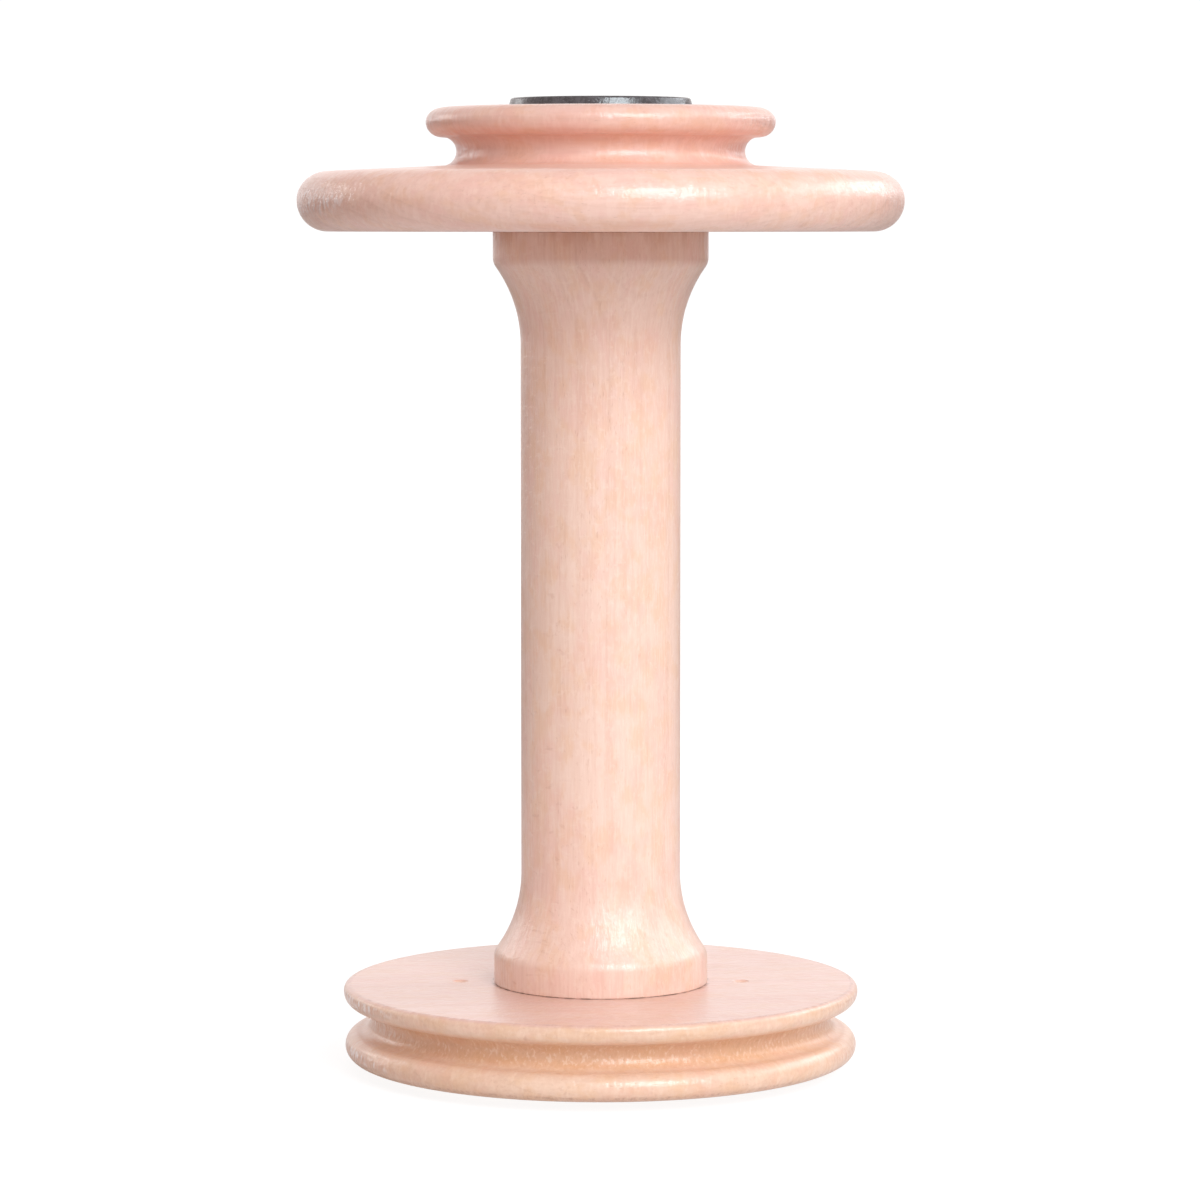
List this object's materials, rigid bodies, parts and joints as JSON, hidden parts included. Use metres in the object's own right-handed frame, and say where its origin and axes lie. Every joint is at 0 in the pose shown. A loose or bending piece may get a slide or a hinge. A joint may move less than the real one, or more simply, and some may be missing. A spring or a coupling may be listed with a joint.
{
  "type": "spinning wheel bobbin",
  "caption": "Turned wooden flyer bobbin: flared yarn barrel, wide flange with a small drive whorl above, thick grooved brake whorl below, and a plastic bush in each end.",
  "frame": {"origin": "centre of the lower bearing's thrust face, which the bobbin stands on", "axes": "+Z along the bobbin from the brake whorl to the drive whorl, +X through the leader holes"},
  "size_m": [0.0888, 0.0888, 0.1428],
  "materials": {
    "varnished_maple": "pale maple under clear gloss varnish",
    "black_plastic": "satin black moulded plastic"
  },
  "bodies": {
    "root": {"barrel": "varnished_maple", "flange": "varnished_maple", "drive_whorl": "varnished_maple", "brake_whorl": "varnished_maple", "upper_bearing": "black_plastic", "lower_bearing": "black_plastic"}
  },
  "joints": []
}
